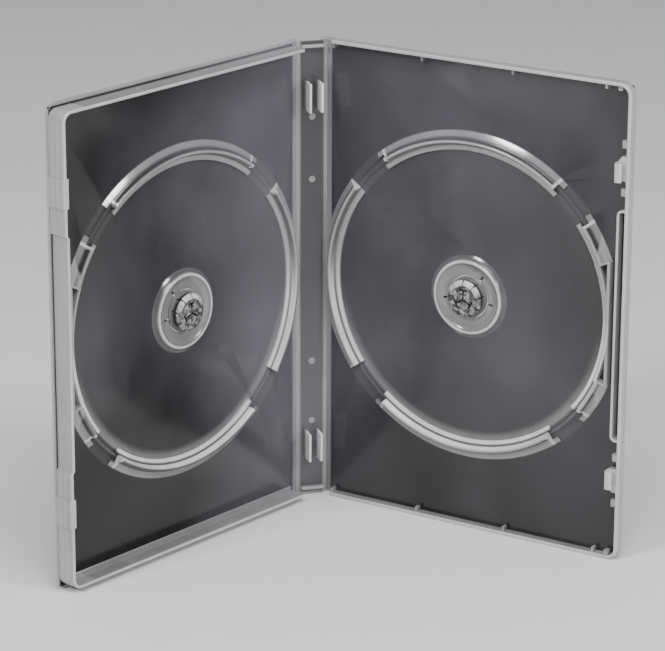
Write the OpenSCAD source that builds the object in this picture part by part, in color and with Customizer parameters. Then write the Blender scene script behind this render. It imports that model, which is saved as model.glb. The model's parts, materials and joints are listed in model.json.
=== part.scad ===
// Double disc case of clear polypropylene, standing open on its bottom edge.
// A deep front cover and a shallow back cover swing on thin webs along a narrow spine.
// Each cover holds one disc in a ring-shaped tray with a press-to-release hub button.
// Units are millimetres, Z is up, and the open side faces -Y.

/* [Case] */
// Height of the case, along the spine
case_h = 190; // [180:1:200]
// Width of a cover, from its hinge line to its free edge
cover_w = 134.2; // [131:0.2:145]
// Thickness of the closed case, over both covers
closed_t = 14; // [13.5:0.1:18]
// Thickness of the flat plates
plate_t = 1; // [0.8:0.05:1.2]
// Radius of the covers' free corners
corner_r = 4.8; // [3:0.1:6]

/* [Opening] */
// Turn of the front cover from flat
front_turn = 32.5; // [5:0.5:80]
// Turn of the back cover from flat
back_turn = 47.5; // [5:0.5:80]

/* [Hinge webs] */
// Thickness of the flexing web
web_t = 0.6; // [0.4:0.05:0.7]
// Width of the web on each side of a hinge line
web_w = 2; // [1.4:0.1:2.4]
// Gap between a cover's round edge and the spine's web
web_gap = 0.1; // [0.06:0.01:0.2]

/* [Spine] */
// Depth of the spine's end walls
spine_wall_d = 3.4; // [2:0.1:3.6]
// Distance of the spine's end walls from the end
spine_wall_inset = 2.2; // [1.5:0.1:3]
// Depth of a leaflet fin, measured from the spine's outer face
fin_d = 9.4; // [6:0.1:12]
// Length of a fin
fin_h = 11.5; // [8:0.5:20]
// Thickness of a fin
fin_t = 1; // [0.6:0.1:1.4]
// Distance of a fin from the end of the spine
fin_end = 16.5; // [10:0.5:30]
// Distance between the two fins of a pair
fin_pitch = 4.8; // [4:0.1:6]
// Shift of a fin pair towards the front cover
fin_shift = 0.4; // [0:0.1:1]

/* [Front rim] */
// Depth of the front cover
front_depth = 9.2; // [7:0.1:9.6]
// Thickness of the walls of the front cover
front_wall_t = 1.2; // [0.9:0.05:1.4]
// Distance of its end walls from the plate's edge
front_end_inset = 2; // [1.5:0.1:3]
// Distance of its free wall from the plate's edge
front_edge_inset = 0.6; // [0.5:0.05:1]
// Width of the step at the foot of an end wall
foot_w = 1.5; // [0.8:0.1:2.5]
// Height of the step at the foot of an end wall
foot_h = 0.6; // [0.3:0.1:1.2]

/* [Back rim] */
// Thickness of the walls of the back cover
back_wall_t = 1.4; // [1:0.05:1.5]
// Gap between the two rims of the closed case
close_gap = 0.1; // [0.05:0.05:0.4]
// Distance from the row of gussets to the free edge
gusset_clear = 11.4; // [9:0.2:16]
// Thickness of a gusset
gusset_t = 1.1; // [0.8:0.1:2]
// Reach of a gusset from its wall
gusset_reach = 1.8; // [1:0.1:3]

/* [Latch] */
// Distance of a latch from mid height
latch_v = 62.3; // [58:0.1:68]
// Length of the hook on the back cover
hook_h = 9.5; // [6:0.1:11]
// Thickness of the hook's stem
hook_t = 1.8; // [1.2:0.1:2.4]
// Reach of the hook's barb
barb_reach = 0.9; // [0.6:0.05:1]
// Length of the catch block on the front cover
catch_h = 11.4; // [10:0.1:13]
// Reach of the catch ledge from its wall
catch_reach = 0.9; // [0.6:0.05:1]
// Thickness of the catch ledge
catch_t = 1.3; // [0.8:0.1:1.8]
// Clearance round the hook in the closed case
latch_clear = 0.4; // [0.25:0.05:0.6]
// Length of a guide nub
nub_h = 3; // [2:0.1:4]
// Distance of a guide nub from the middle of its hook
nub_v = 9.3; // [8:0.1:11]

/* [Thumb section] */
// Half of the length of the thumb section
thumb_v = 46.3; // [40:0.1:50]
// Width over the back cover's double wall
thumb_w = 4.6; // [4:0.1:5.5]
// Thickness of the double wall's inner wall
thumb_t = 1; // [0.8:0.1:1.3]
// Step of the front cover's wall away from the thumb
thumb_step = 0.9; // [0.5:0.1:1.4]

/* [Disc tray] */
// Diameter of the disc
disc_d = 120; // [117:0.5:121]
// Clearance round the disc
disc_clear = 0.8; // [0.5:0.1:1]
// Height of the ring over the plate
ring_h = 3.2; // [2:0.1:3.6]
// Height of the ledge under the disc's edge
ledge_h = 1; // [0.5:0.1:1.3]
// Width of the ledge
ledge_w = 2; // [1:0.1:3]
// Width of the top of the ring
ridge_w = 0.9; // [0.6:0.1:1.4]
// Height of the shoulder outside the ring
shoulder_h = 1.3; // [0.8:0.1:1.6]
// Width of the lane between the free edge and the ring
lane_w = 6.8; // [6.2:0.1:8]
// Thickness of the straight wall beside the lane
flat_t = 1.4; // [1:0.1:1.6]
// Half of the angle of a finger notch
notch_half = 8.5; // [6:0.5:10]
// Half of the angle of the straight wall's sector
flat_half = 22; // [18:0.5:26]
// Half of the angle between the two middle ribs
rib_half = 7.5; // [6:0.5:9]
// Thickness of a rib of the ring
rib_t = 0.9; // [0.7:0.1:1.4]

/* [Hub] */
// Outer radius of the ring that the disc rests on
seat_r = 14.7; // [13.5:0.1:16]
// Height of the seat over the plate
seat_h = 2; // [1.4:0.1:2.4]
// Width of the top of the seat
seat_w = 0.7; // [0.5:0.1:1.2]
// Width of the slope outside the seat
seat_slope = 2.2; // [1.2:0.1:3]
// Height of the dish inside the seat, over the plate
dish_h = 0.8; // [0.5:0.1:1.2]
// Radius of the button's neck
neck_r = 7.2; // [6.8:0.05:7.3]
// Height of the button over the outer face
button_h = 6.1; // [5.2:0.1:6.3]
// Reach of the button's lip over the disc
lip_reach = 0.35; // [0.2:0.05:0.5]
// Radius of the button's skirt
skirt_r = 8.3; // [8:0.1:9]
// Thickness of the button's skirt
skirt_t = 0.8; // [0.6:0.05:1]
// Wall of the button
button_wall = 1; // [0.8:0.1:1.4]
// Running gap round the skirt
button_gap = 0.3; // [0.15:0.05:0.4]
// Travel of the button
button_travel = 1.2; // [0.6:0.1:1.2]
// Width of the slits of the button
slit_w = 0.6; // [0.4:0.05:0.9]
// Number of fingers round the button
fingers = 9; // [6:3:12]

/* [Hidden] */
$fn = 96;
// Overlap that joins two shapes of one piece
weld = 0.2;
// The hinge lines lie at mid thickness of the webs
axis_d = web_t / 2;
// Distance between the hinge lines
hinge_span = closed_t - 2 * axis_d;
// Depth of the back cover
back_depth = closed_t - front_depth - close_gap;
// Start of the end walls, clear of the spine's own end walls when closed
wall_start = spine_wall_d + 0.6;
mid_v = case_h / 2;
pocket_r = disc_d / 2 + disc_clear;
// Middle of the hub, measured from the hinge line
hub_u = cover_w - lane_w - flat_t - pocket_r;
// The ring rises from its ledge to a ridge and falls to a shoulder and a foot
ridge_r = pocket_r + 1.2;
shoulder_r = ridge_r + ridge_w + 0.9;
foot_r = shoulder_r + 3;
ring_lip_t = 1.2;
// The skirt stays clear of the outer face when the button is pressed
button_base = button_travel + 0.1;
hole_r = skirt_r + button_gap;
hook_top = closed_t - front_depth + catch_t + latch_clear / 2 + 1.2;
front_inner_u = cover_w - front_edge_inset - front_wall_t;
hook_u = front_inner_u - catch_reach - latch_clear - hook_t;
// The gussets of an end wall share the way from the wall's start to the clear end
gussets_in_row = 4;
gusset_pitch = (cover_w - wall_start - gusset_clear) / (gussets_in_row - 1);
pip_r = 1.4;
pip_h = 0.3;
// Distance of the outer moulding marks from the fins
pip_gap = 3.5;
// The box round the open case gives the place of its origin
reach_left = cover_w * cos(front_turn) + axis_d * sin(front_turn);
reach_right = cover_w * cos(back_turn) + axis_d * sin(back_turn);
reach_front_cover = cover_w * sin(front_turn) + (front_depth - axis_d) * cos(front_turn);
reach_back_cover = cover_w * sin(back_turn) + (back_depth - axis_d) * cos(back_turn);
middle_x = (reach_right - reach_left) / 2;
middle_y = (axis_d - max(reach_front_cover, reach_back_cover)) / 2;

// Lays a plan drawn with u across, v up and depth as Z onto an upright panel.
module upright() {
  rotate([90, 0, 0]) translate([0, 0, -axis_d]) children();
}

// Puts the spine's middle where it stands beside the origin.
module standing() {
  translate([-middle_x, -middle_y, 0]) children();
}

// Carries a cover plan to the front cover's place.
module at_front() {
  standing() translate([-hinge_span / 2, 0, 0]) rotate([0, 0, front_turn])
    mirror([1, 0, 0]) upright() children();
}

// Carries a cover plan to the back cover's place.
module at_back() {
  standing() translate([hinge_span / 2, 0, 0]) rotate([0, 0, -back_turn]) upright() children();
}

// Outline of a cover from start to its free edge, drawn in by two insets.
module cover_outline(start, end_inset, edge_inset, r) {
  far_u = cover_w - edge_inset;
  tall = case_h - 2 * end_inset;
  translate([start, end_inset]) square([far_u - r - start, tall]);
  translate([start, end_inset + r]) square([far_u - start, tall - 2 * r]);
  for (v = [end_inset + r, case_h - end_inset - r])
    translate([far_u - r, v]) circle(r);
}

// Wall along the top, the free edge and the bottom of a cover.
module rim(end_inset, edge_inset, t, depth) {
  r = corner_r - edge_inset;
  translate([0, 0, plate_t - weld]) linear_extrude(depth - plate_t + weld) difference() {
    cover_outline(wall_start, end_inset, edge_inset, r);
    cover_outline(wall_start - 1, end_inset + t, edge_inset + t, r - t);
  }
}

// Flat plate of a cover with its web and its round hinge edge.
module cover_plate() {
  difference() {
    union() {
      linear_extrude(plate_t) cover_outline(web_w, 0, 0, corner_r);
      linear_extrude(web_t) square([web_w + weld, case_h]);
      translate([0, 0, axis_d]) rotate([-90, 0, 0]) cylinder(h = case_h, r = axis_d);
    }
    hub_hole();
  }
}

module hub_hole() {
  translate([hub_u, mid_v, -1]) cylinder(h = plate_t + seat_h + 2, r = hole_r);
}

// Section of the disc ring: ledge, inner wall, ridge, shoulder and foot.
module ring_section() {
  polygon([
    [pocket_r - ledge_w - 0.3, -weld],
    [pocket_r - ledge_w - 0.3, 0],
    [pocket_r - ledge_w, ledge_h],
    [pocket_r, ledge_h],
    [pocket_r + 0.5, ledge_h + 0.5],
    [ridge_r - 0.3, ring_h - 0.35],
    [ridge_r, ring_h],
    [ridge_r + ridge_w, ring_h],
    [ridge_r + ridge_w + 0.35, ring_h - 0.4],
    [shoulder_r - 0.2, shoulder_h + 0.3],
    [shoulder_r + 0.3, shoulder_h],
    [foot_r - 1.2, shoulder_h * 0.4],
    [foot_r, 0],
    [foot_r, -weld]
  ]);
}

// Wedge from the hub's middle, between two angles.
module wedge(from_angle, to_angle, far = 120) {
  polygon([
    [0, 0],
    [far * cos(from_angle), far * sin(from_angle)],
    [far * cos(to_angle), far * sin(to_angle)]
  ]);
}

// Ring round the disc, with four finger notches and a straight wall at the free edge.
module disc_ring() {
  chord_u = pocket_r + flat_t;
  translate([hub_u, mid_v, plate_t]) {
    difference() {
      rotate_extrude() ring_section();
      for (a = [45:90:315])
        translate([0, 0, -1]) linear_extrude(ring_h + 2)
          wedge(a - notch_half, a + notch_half);
      translate([0, 0, -1]) linear_extrude(ring_h + 2) difference() {
        wedge(-flat_half, flat_half);
        circle(pocket_r + ring_lip_t);
      }
      translate([-hub_u - 20, -foot_r - 1, -1])
        cube([20 + web_w + 0.2, 2 * foot_r + 2, ring_h + 2]);
    }
    // The inner wall's lip runs on beside the straight wall
    intersection() {
      translate([0, 0, -weld]) linear_extrude(ring_h + weld) wedge(-flat_half, flat_half);
      rotate_extrude() translate([pocket_r, -weld]) square([ring_lip_t, ring_h + weld]);
    }
    // Straight wall
    translate([pocket_r, -chord_u * tan(flat_half), -weld])
      cube([flat_t, 2 * chord_u * tan(flat_half), ring_h + weld]);
    // Ribs between the round wall and the straight one
    for (a = [-flat_half, -rib_half, rib_half, flat_half])
      rotate([0, 0, a]) translate([pocket_r + 0.2, -rib_t / 2, -weld])
        cube([chord_u / cos(a) - pocket_r - 0.4, rib_t, ring_h + weld]);
  }
}

// Seat of the disc with its dish, open in the middle for the button.
module hub_seat() {
  translate([hub_u, mid_v, plate_t])
    rotate_extrude() polygon([
      [hole_r, -weld],
      [hole_r, dish_h],
      [seat_r - seat_w - 2.4, dish_h],
      [seat_r - seat_w - 0.5, seat_h - 0.2],
      [seat_r - seat_w, seat_h],
      [seat_r, seat_h],
      [seat_r + 0.3, seat_h - 0.3],
      [seat_r + seat_slope * 0.5, seat_h * 0.35],
      [seat_r + seat_slope, 0],
      [seat_r + seat_slope, -weld]
    ]);
}

// Three slits let the dish give round the button.
module dish_slits() {
  translate([hub_u, mid_v, -1]) for (a = [55, 190, 350])
    rotate([0, 0, a]) translate([hole_r - 1, -slit_w / 2, 0])
      cube([3.6, slit_w, plate_t + seat_h + 2]);
}

// Plate, tray and seat that both covers have.
module tray() {
  difference() {
    union() {
      cover_plate();
      disc_ring();
      hub_seat();
    }
    dish_slits();
  }
}

// Step along the foot of the front cover's end walls.
module foot_steps() {
  inner = front_end_inset + front_wall_t - weld;
  for (v = [inner, case_h - inner - foot_w - weld])
    translate([wall_start, v, plate_t - weld])
      cube([cover_w - corner_r - wall_start - 1, foot_w + weld, foot_h + weld]);
}

// Thickened wall and inward ledge that a hook snaps behind.
module catch_block(v) {
  translate([front_inner_u - catch_reach, v - catch_h / 2, front_depth - catch_t])
    cube([catch_reach + weld, catch_h, catch_t]);
  translate([cover_w - front_edge_inset - weld, v - catch_h / 2, 0])
    cube([front_edge_inset - 0.2 + weld, catch_h, front_depth]);
}

module front_cover_plan() {
  tray();
  foot_steps();
  difference() {
    rim(front_end_inset, front_edge_inset, front_wall_t, front_depth);
    // The wall steps back where a thumb opens the case
    translate([cover_w - front_edge_inset - thumb_step, mid_v - thumb_v, plate_t])
      cube([thumb_step + 1, 2 * thumb_v, front_depth]);
  }
  translate([front_inner_u - thumb_step, mid_v - thumb_v, plate_t - weld])
    cube([front_wall_t, 2 * thumb_v, front_depth - plate_t + weld]);
  for (side = [-1, 1])
    catch_block(mid_v + side * latch_v);
}

// Hook with its base on the back cover's rim and a barb at its tip.
module hook(v) {
  base_h = back_depth - 0.3;
  translate([hook_u, v - hook_h / 2, plate_t - weld]) {
    cube([cover_w - back_wall_t - hook_u + weld, hook_h, base_h - plate_t + weld]);
    cube([hook_t, hook_h, hook_top - plate_t + weld]);
  }
  translate([hook_u, v + hook_h / 2, 0]) rotate([90, 0, 0]) linear_extrude(hook_h) polygon([
    [hook_t - weld, hook_top - 1.2],
    [hook_t + barb_reach, hook_top - 1.2],
    [hook_t + barb_reach, hook_top - 0.9],
    [hook_t, hook_top],
    [hook_t - weld, hook_top]
  ]);
}

// Small square guide beside a hook.
module nub(v) {
  translate([cover_w - back_wall_t - nub_h * 0.7, v - nub_h / 2, plate_t - weld])
    cube([nub_h * 0.7 + weld, nub_h, back_depth - plate_t - 0.5 + weld]);
}

// Double wall with round closed ends where a thumb opens the case.
module thumb_wall() {
  end_r = thumb_w / 2;
  translate([0, 0, plate_t - weld]) linear_extrude(back_depth - plate_t + weld) difference() {
    thumb_outline(cover_w - end_r, end_r, thumb_v);
    thumb_outline(cover_w - end_r, end_r - thumb_t, thumb_v - thumb_t);
  }
}

module thumb_outline(u, r, reach) {
  translate([u - r, mid_v - reach + r]) square([2 * r, 2 * (reach - r)]);
  for (side = [-1, 1])
    translate([u, mid_v + side * (reach - r)]) circle(r);
}

// Pair of gussets that stiffen the back cover's end walls, at one distance from the hinge.
module gusset_pair(u, t) {
  reach = back_wall_t + gusset_reach;
  for (v = [weld, case_h - reach])
    translate([u, v, plate_t - weld])
      cube([t, reach - weld, back_depth - plate_t - 0.8 + weld]);
}

module gussets() {
  for (i = [0:gussets_in_row - 1])
    gusset_pair(wall_start + i * gusset_pitch, gusset_t);
  gusset_pair(cover_w - corner_r - 1.2, 1.7 * gusset_t);
}

module back_cover_plan() {
  tray();
  rim(0, 0, back_wall_t, back_depth);
  gussets();
  thumb_wall();
  for (side = [-1, 1]) {
    hook(mid_v + side * latch_v);
    for (step = [-1, 1])
      nub(mid_v + side * latch_v + step * nub_v);
  }
}

// Fingered press button: a skirt, a split neck and a domed top with a lip.
module hub_button_plan() {
  top = button_h;
  under = top - button_wall;
  translate([hub_u, mid_v, 0]) difference() {
    rotate_extrude() polygon([
      [neck_r - button_wall, button_base],
      [skirt_r, button_base],
      [skirt_r, button_base + skirt_t],
      [neck_r, button_base + skirt_t],
      [neck_r, top - 1.9],
      [neck_r + lip_reach, top - 1.5],
      [neck_r + lip_reach, top - 1.2],
      [neck_r - 0.5, top - 0.5],
      [neck_r - 1.6, top - 0.15],
      [neck_r - 3.2, top],
      [0, top],
      [0, under],
      [neck_r - 2.6, under - 0.1],
      [neck_r - button_wall, under - 0.6]
    ]);
    // Slits between the fingers
    for (i = [0:fingers - 1])
      rotate([0, 0, i * 360 / fingers + 15]) translate([neck_r - 2.4, -slit_w / 2, button_base + skirt_t])
        cube([4, slit_w, top]);
    // Y-shaped slit in the middle
    for (a = [90, 210, 330])
      rotate([0, 0, a]) translate([0, -slit_w / 2, 0]) cube([3.6, slit_w, top + 1]);
  }
}

// Parallel fins that hold a leaflet, one pair near each end of the spine.
module fins() {
  for (v = [fin_end, case_h - fin_end - fin_h])
    for (side = [-1, 1])
      translate([side * fin_pitch / 2 - fin_shift - fin_t / 2, v, plate_t - weld])
        cube([fin_t, fin_h, fin_d - plate_t + weld]);
}

// Round moulding marks on the inside of the spine.
module pips() {
  outer_v = fin_end + fin_h + pip_gap;
  for (v = [outer_v, case_h * 0.3, case_h * 0.7, case_h - outer_v])
    translate([0, v, plate_t - weld]) cylinder(h = pip_h + weld, r = pip_r);
}

module spine_plan() {
  web_half = hinge_span / 2 - axis_d - web_gap;
  plate_half = hinge_span / 2 - web_w;
  translate([-web_half, 0, 0]) cube([2 * web_half, case_h, web_t]);
  translate([-plate_half, 0, 0]) cube([2 * plate_half, case_h, plate_t]);
  for (v = [spine_wall_inset, case_h - spine_wall_inset - front_wall_t])
    translate([-plate_half, v, plate_t - weld])
      cube([2 * plate_half, front_wall_t, spine_wall_d - plate_t + weld]);
  fins();
  pips();
}

module spine() {
  color([0.62, 0.62, 0.66]) standing() upright() spine_plan();
}

module front_cover() {
  color([0.6, 0.6, 0.65]) at_front() front_cover_plan();
}

module back_cover() {
  color([0.6, 0.6, 0.65]) at_back() back_cover_plan();
}

module front_hub_button() {
  color([0.8, 0.8, 0.82]) at_front() hub_button_plan();
}

module back_hub_button() {
  color([0.8, 0.8, 0.82]) at_back() hub_button_plan();
}

spine();
front_cover();
back_cover();
front_hub_button();
back_hub_button();
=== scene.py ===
"""Dresses a clear double disc case that stands open on its bottom edge.

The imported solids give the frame. Each cover, the spine and each hub button is modelled again as one
closed moulding with rounded lips and edges, in the solid's own place, and gets a procedural finish of
translucent polypropylene. Sizes are in millimetres until a mesh is settled into the frame, in metres.
"""

import json
import logging
import math
from dataclasses import dataclass, field
from enum import Enum
from typing import Callable, Iterable, Sequence

import bmesh
import bpy
from mathutils import Matrix, Vector

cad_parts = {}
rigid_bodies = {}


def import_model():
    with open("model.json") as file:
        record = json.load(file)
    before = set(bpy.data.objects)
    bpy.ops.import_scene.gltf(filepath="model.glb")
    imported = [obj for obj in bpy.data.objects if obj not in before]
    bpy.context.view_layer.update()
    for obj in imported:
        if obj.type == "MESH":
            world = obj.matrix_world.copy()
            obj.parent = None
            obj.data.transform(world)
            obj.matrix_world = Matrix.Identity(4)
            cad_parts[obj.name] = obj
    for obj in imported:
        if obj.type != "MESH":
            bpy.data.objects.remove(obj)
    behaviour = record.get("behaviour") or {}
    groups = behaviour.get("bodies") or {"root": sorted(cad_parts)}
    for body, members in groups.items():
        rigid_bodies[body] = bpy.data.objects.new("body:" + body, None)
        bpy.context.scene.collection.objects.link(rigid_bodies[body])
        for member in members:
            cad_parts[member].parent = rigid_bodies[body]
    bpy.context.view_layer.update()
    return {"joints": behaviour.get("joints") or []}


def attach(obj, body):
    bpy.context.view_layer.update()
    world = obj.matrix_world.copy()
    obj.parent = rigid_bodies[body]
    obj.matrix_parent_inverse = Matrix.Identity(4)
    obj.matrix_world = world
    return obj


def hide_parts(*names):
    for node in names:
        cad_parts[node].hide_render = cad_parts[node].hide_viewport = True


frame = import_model()

LOG = logging.getLogger("disc_case")
MM = 0.001
UP = Vector((0.0, 0.0, 1.0))
FLOOR = Vector((0.0, 0.0, 0.0))
TURN_STEPS = 96
# How far raised features are sunk in their plate, and how far the tray's are, so that they join
SUNK = 0.3
TRAY_SUNK = 0.4

Point = tuple[float, float]
Outline = list[Point]
Colour = tuple[float, float, float, float]
Mesh = bpy.types.Mesh
Material = bpy.types.Material
Socket = bpy.types.NodeSocket
Thing = bpy.types.Object


class Side(Enum):
    """The two covers, with the sign that turns inward x up into the way along each of them."""

    FRONT = -1
    BACK = 1


class Fill(Enum):
    """What a boolean step does with its cutters or additions."""

    JOIN = "UNION"
    CUT = "DIFFERENCE"


@dataclass(frozen=True)
class CaseSizes:
    """Driving sizes of the moulding, in millimetres, as the solids have them."""

    height: float = 190.0
    cover_w: float = 134.2
    closed_t: float = 14.0
    plate_t: float = 1.0
    corner_r: float = 4.8
    web_t: float = 0.6
    web_w: float = 2.0
    web_gap: float = 0.1
    front_depth: float = 9.2
    front_wall_t: float = 1.2
    front_end_inset: float = 2.0
    front_edge_inset: float = 0.6
    back_wall_t: float = 1.4
    close_gap: float = 0.1
    spine_wall_d: float = 3.4
    latch_v: float = 62.3
    catch_reach: float = 0.9
    catch_t: float = 1.3
    thumb_v: float = 46.3

    @property
    def axis_d(self) -> float:
        """Depth of a hinge line under the outer face."""
        return self.web_t / 2

    @property
    def back_depth(self) -> float:
        """Depth of the back cover."""
        return self.closed_t - self.front_depth - self.close_gap

    @property
    def wall_start(self) -> float:
        """Distance from the hinge line to the start of the end walls."""
        return self.spine_wall_d + 0.6

    @property
    def front_inner_u(self) -> float:
        """Distance from the hinge line to the inside of the front cover's free wall."""
        return self.cover_w - self.front_edge_inset - self.front_wall_t

    @property
    def mid_v(self) -> float:
        """Mid height of the case."""
        return self.height / 2


@dataclass(frozen=True)
class TraySizes:
    """Sizes of the disc ring, its notches and the straight wall beside the free edge."""

    pocket_r: float = 60.8
    ledge_w: float = 2.0
    ledge_h: float = 1.0
    ring_h: float = 3.2
    ridge_w: float = 0.9
    shoulder_h: float = 1.3
    lip_t: float = 1.2
    lane_w: float = 6.8
    flat_t: float = 1.4
    notch_half: float = 8.5
    flat_half: float = 22.0
    rib_half: float = 7.5
    rib_t: float = 0.9

    @property
    def ridge_r(self) -> float:
        """Inner radius of the top of the ring."""
        return self.pocket_r + 1.2

    @property
    def shoulder_r(self) -> float:
        """Radius where the ring falls to its shoulder."""
        return self.ridge_r + self.ridge_w + 0.9

    @property
    def foot_r(self) -> float:
        """Radius of the ring's outer foot."""
        return self.shoulder_r + 3.0


@dataclass(frozen=True)
class HubSizes:
    """Sizes of the disc seat, its dish and the fingered button."""

    seat_r: float = 14.7
    seat_h: float = 2.0
    seat_w: float = 0.7
    seat_slope: float = 2.2
    dish_h: float = 0.8
    neck_r: float = 7.2
    button_h: float = 6.1
    lip_reach: float = 0.35
    skirt_r: float = 8.3
    skirt_t: float = 0.8
    button_gap: float = 0.3
    base: float = 1.3
    slit_w: float = 0.6
    jaw_w: float = 0.8
    fingers: int = 9

    @property
    def hole_r(self) -> float:
        """Radius of the hole that the button moves in."""
        return self.skirt_r + self.button_gap


@dataclass(frozen=True)
class PanelFrame:
    """Place of a flat panel: u runs along it, v up and w inwards from its outer face."""

    origin: Vector
    along: Vector
    inward: Vector
    axis_d: float

    @property
    def outer(self) -> Vector:
        """Foot of the hinge line, brought out to the outer face."""
        return self.origin - self.inward * (self.axis_d * MM)

    def matrix(self) -> Matrix:
        """Returns the matrix that takes (u, v, w) in millimetres to the frame in metres."""
        rows = [[self.along[i] * MM, UP[i] * MM, self.inward[i] * MM, self.outer[i]] for i in range(3)]
        return Matrix(rows + [[0.0, 0.0, 0.0, 1.0]])


def joint_named(name: str) -> dict:
    """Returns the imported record's joint of that name."""
    return next(j for j in frame["joints"] if j["name"] == name)


def cover_frame(side: Side, sizes: CaseSizes) -> PanelFrame:
    """Finds a cover's place from its hinge and from the way its button is pressed.

    Args:
        side: Which cover.
        sizes: The case's sizes.

    Returns:
        The cover's frame, with its origin at the foot of the hinge line.
    """
    word = side.name.lower()
    hinge = Vector(joint_named(f"{word}_hinge")["pos_m"])
    inward = -Vector(joint_named(f"{word}_button_press")["axis"]).normalized()
    return PanelFrame(Vector((hinge.x, hinge.y, 0.0)), side.value * UP.cross(inward), inward, sizes.axis_d)


def spine_frame(sizes: CaseSizes) -> PanelFrame:
    """Returns the spine's frame, with u measured from the middle of the spine."""
    left, right = (Vector(joint_named(n)["pos_m"]) for n in ("front_hinge", "back_hinge"))
    middle = (left + right) / 2
    return PanelFrame(Vector((middle.x, middle.y, 0.0)), Vector((1, 0, 0)), Vector((0, -1, 0)), sizes.axis_d)


# Outlines

def arc(centre: Point, radius: float, first: float, last: float, steps: int) -> Outline:
    """Returns points along an arc, both ends included, with angles in degrees."""
    turns = [math.radians(first + (last - first) * i / steps) for i in range(steps + 1)]
    return [(centre[0] + radius * math.cos(t), centre[1] + radius * math.sin(t)) for t in turns]


def rectangle(u0: float, v0: float, u1: float, v1: float) -> Outline:
    """Returns a rectangle's corners, anticlockwise."""
    return [(u0, v0), (u1, v0), (u1, v1), (u0, v1)]


def turned(outline: Outline, degrees: float, centre: Point) -> Outline:
    """Returns an outline drawn round (0, 0), turned and moved to a centre."""
    c, s = math.cos(math.radians(degrees)), math.sin(math.radians(degrees))
    return [(centre[0] + c * x - s * y, centre[1] + s * x + c * y) for x, y in outline]


def anticlockwise(outline: Outline) -> Outline:
    """Returns the outline in anticlockwise order."""
    area = sum(a[0] * b[1] - b[0] * a[1] for a, b in zip(outline, outline[1:] + outline[:1]))
    return outline if area > 0 else outline[::-1]


def inset(outline: Outline, distance: float) -> Outline:
    """Moves each corner of an anticlockwise outline inwards by a mitred distance.

    Args:
        outline: The corners.
        distance: How far each side moves in.

    Returns:
        The new corners, in the same order.
    """
    moved: Outline = []
    for i, here in enumerate(outline):
        before = Vector(here) - Vector(outline[i - 1])
        after = Vector(outline[(i + 1) % len(outline)]) - Vector(here)
        before, after = before.normalized(), after.normalized()
        n1, n2 = Vector((-before.y, before.x)), Vector((-after.y, after.x))
        step = (n1 + n2) * (distance / max(1.0 + n1.dot(n2), 0.3))
        moved.append((here[0] + step.x, here[1] + step.y))
    return moved


def spline(points: Outline, steps: int) -> Outline:
    """Returns a smooth open run of points through the given ones."""
    ends = [points[0]] + points + [points[-1]]
    run: Outline = []
    for p0, p1, p2, p3 in zip(ends, ends[1:], ends[2:], ends[3:]):
        for i in range(steps):
            t = i / steps
            run.append(tuple(
                0.5 * (2 * b + (c - a) * t + (2 * a - 5 * b + 4 * c - d) * t * t
                       + (3 * b - a - 3 * c + d) * t ** 3)
                for a, b, c, d in zip(p0, p1, p2, p3)))
    return run + [points[-1]]


def cover_outline(sizes: CaseSizes, start: float, end_inset: float, edge_inset: float, r: float) -> Outline:
    """Returns the open path along a cover's bottom, free edge and top, from start."""
    far, low, high = sizes.cover_w - edge_inset, end_inset, sizes.height - end_inset
    return ([(start, low)] + arc((far - r, low + r), r, -90, 0, 8)
            + arc((far - r, high - r), r, 0, 90, 8) + [(start, high)])


# Solids in local millimetres

def finished(shape: bmesh.types.BMesh, name: str) -> Mesh:
    """Closes and turns a bmesh outwards and returns it as a mesh."""
    bmesh.ops.remove_doubles(shape, verts=shape.verts, dist=1e-5)
    bmesh.ops.recalc_face_normals(shape, faces=shape.faces)
    mesh = bpy.data.meshes.new(name)
    shape.to_mesh(mesh)
    shape.free()
    return mesh


def stacked(loops: Sequence[Sequence[Vector]], name: str) -> Mesh:
    """Skins equal loops of points one on another and caps both ends."""
    shape = bmesh.new()
    rows = [[shape.verts.new(p) for p in loop] for loop in loops]
    count = len(rows[0])
    for low, high in zip(rows, rows[1:]):
        for i in range(count):
            j = (i + 1) % count
            shape.faces.new((low[i], low[j], high[j], high[i]))
    shape.faces.new(rows[0][::-1])
    shape.faces.new(rows[-1])
    return finished(shape, name)


def rounded_prism(
    outline: Outline, low: float, high: float,
    round_low: float = 0.0, round_high: float = 0.25, steps: int = 3,
) -> Mesh:
    """Raises an outline from low to high with quarter-round edges.

    Args:
        outline: The corners in the panel's plane.
        low: Depth of the underside.
        high: Depth of the top.
        round_low: Radius of the edge round the underside.
        round_high: Radius of the edge round the top.
        steps: Facets of each quarter round.

    Returns:
        A closed mesh.
    """
    path = anticlockwise(outline)
    levels: list[Point] = []
    for i in range(steps + 1 if round_low else 1):
        turn = math.radians(90 * i / steps)
        levels.append((round_low * (1 - math.sin(turn)), low + round_low * (1 - math.cos(turn))))
    for i in range(steps + 1 if round_high else 1):
        turn = math.radians(90 * i / steps)
        levels.append((round_high * (1 - math.cos(turn)), high - round_high * (1 - math.sin(turn))))
    loops = [[Vector((u, v, w)) for u, v in inset(path, gap)] for gap, w in levels]
    return stacked(loops, "prism")


def along_height(section: Outline, v0: float, v1: float) -> Mesh:
    """Extrudes a (u, w) section from v0 to v1."""
    return stacked([[Vector((u, v, w)) for u, w in section] for v in (v0, v1)], "bar")


def spun(shape: bmesh.types.BMesh, section: Outline, centre: Point) -> list[list[bmesh.types.BMVert]]:
    """Adds a (radius, depth) section's corners to a bmesh at each step round a hub's axis."""
    rows = []
    for k in range(TURN_STEPS):
        c, s = math.cos(math.tau * k / TURN_STEPS), math.sin(math.tau * k / TURN_STEPS)
        rows.append([shape.verts.new((centre[0] + r * c, centre[1] + r * s, w)) for r, w in section])
    return rows


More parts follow.
